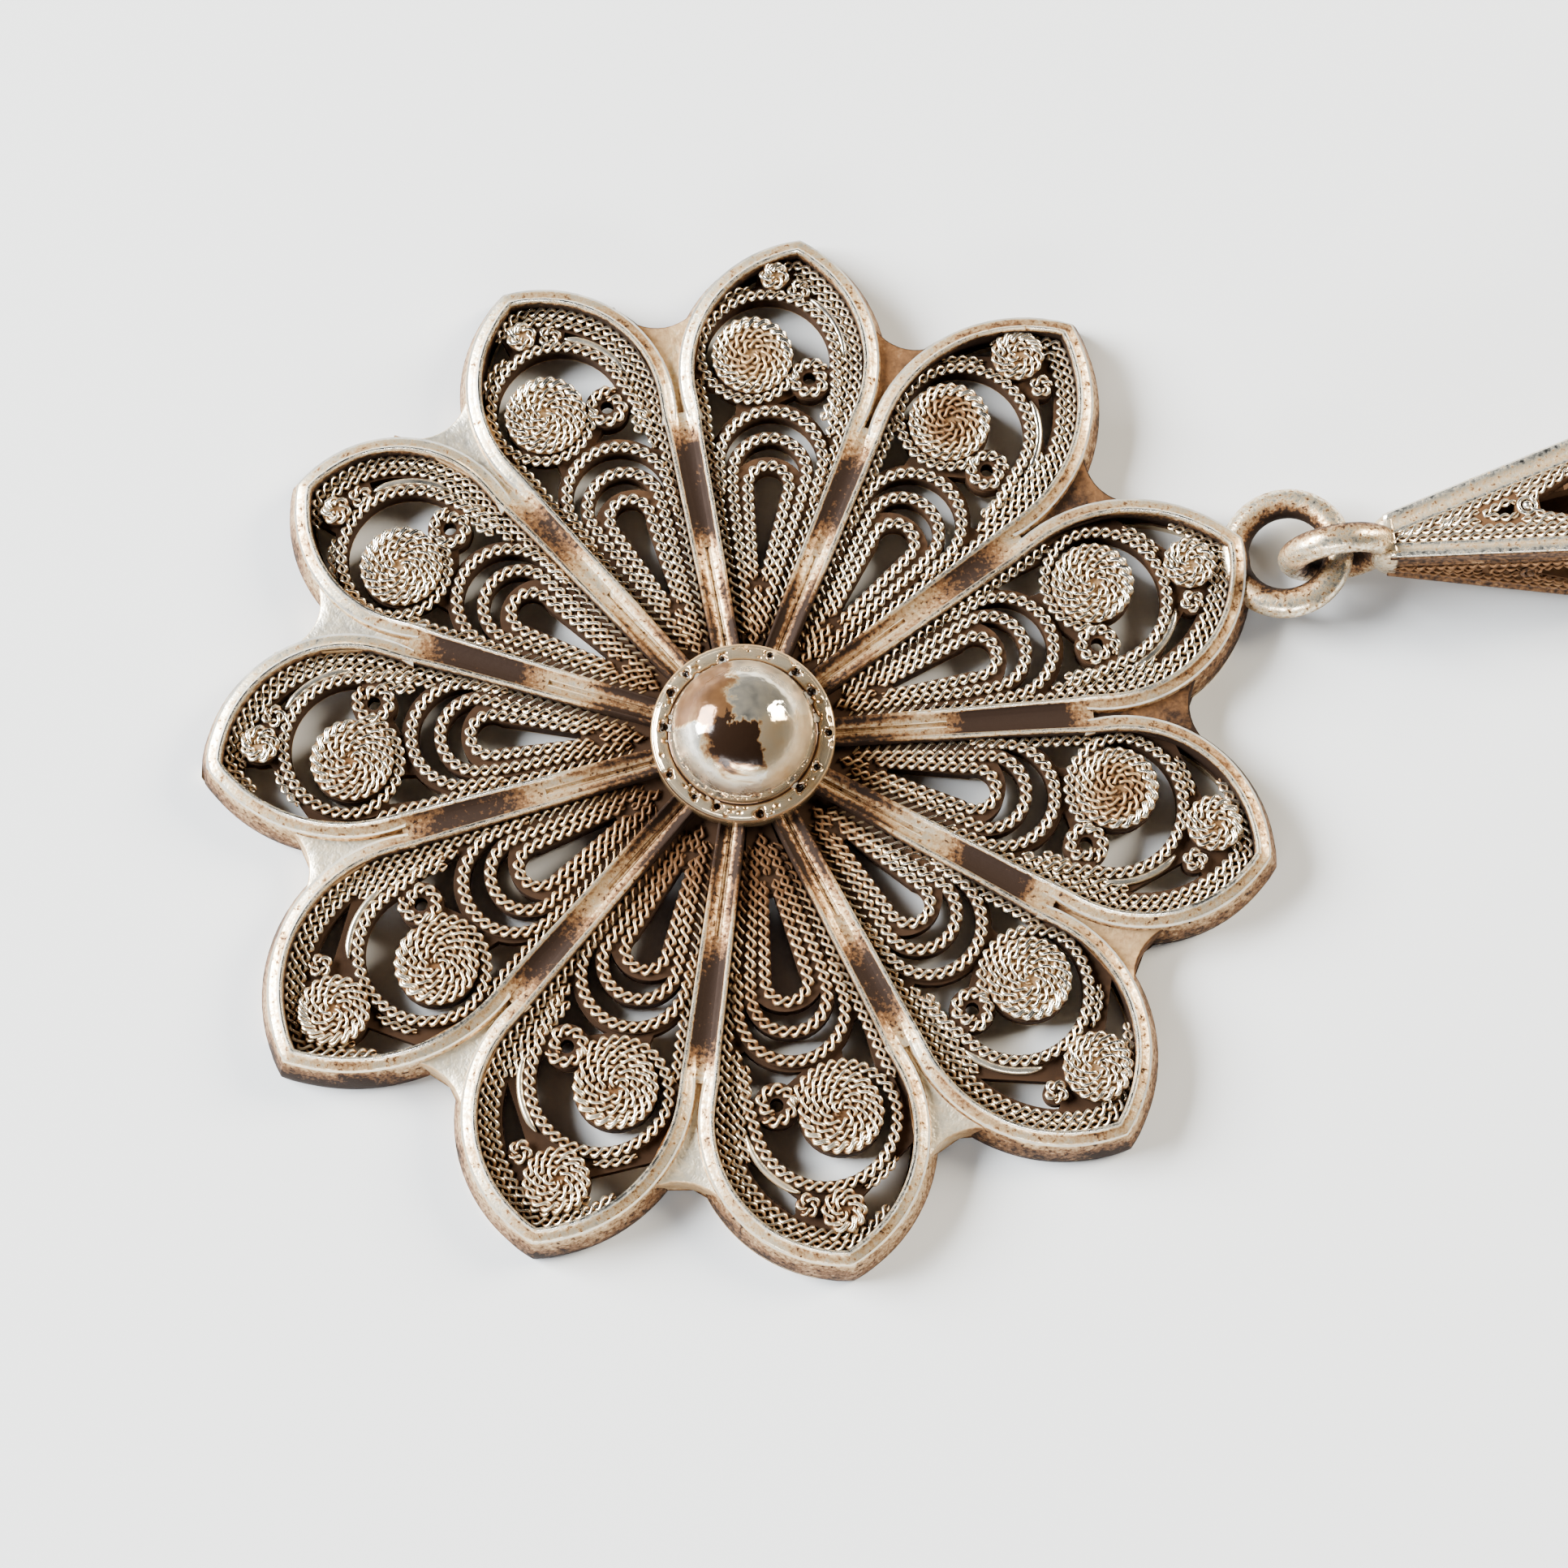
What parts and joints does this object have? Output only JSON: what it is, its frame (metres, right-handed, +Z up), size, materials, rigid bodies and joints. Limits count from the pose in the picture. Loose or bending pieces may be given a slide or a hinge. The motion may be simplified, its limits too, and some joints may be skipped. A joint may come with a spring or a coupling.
{
  "type": "long chain necklace",
  "caption": "Long silver necklace lying flat: a round filigree flower pendant, a pierced four-sided spindle link and a whole loop of interlocking cable chain.",
  "frame": {"origin": "middle of the flower pendant's flat back, on the surface the necklace lies on", "axes": "+X from the flower through the spindle link to the far end of the chain loop, +Y to the left of that on the surface, +Z up out of the flower's face"},
  "size_m": [0.3759, 0.2015, 0.0059],
  "materials": {
    "oxidised_silver": "worn silver filigree with dark red-brown tarnish in its hollows",
    "polished_silver": "polished silver with fine pits and a pale brown tarnish"
  },
  "bodies": {
    "root": {"flower_pendant": "oxidised_silver", "spindle_link": "oxidised_silver", "join_ring": "polished_silver", "chain_left": "polished_silver", "chain_right": "polished_silver"}
  },
  "joints": []
}
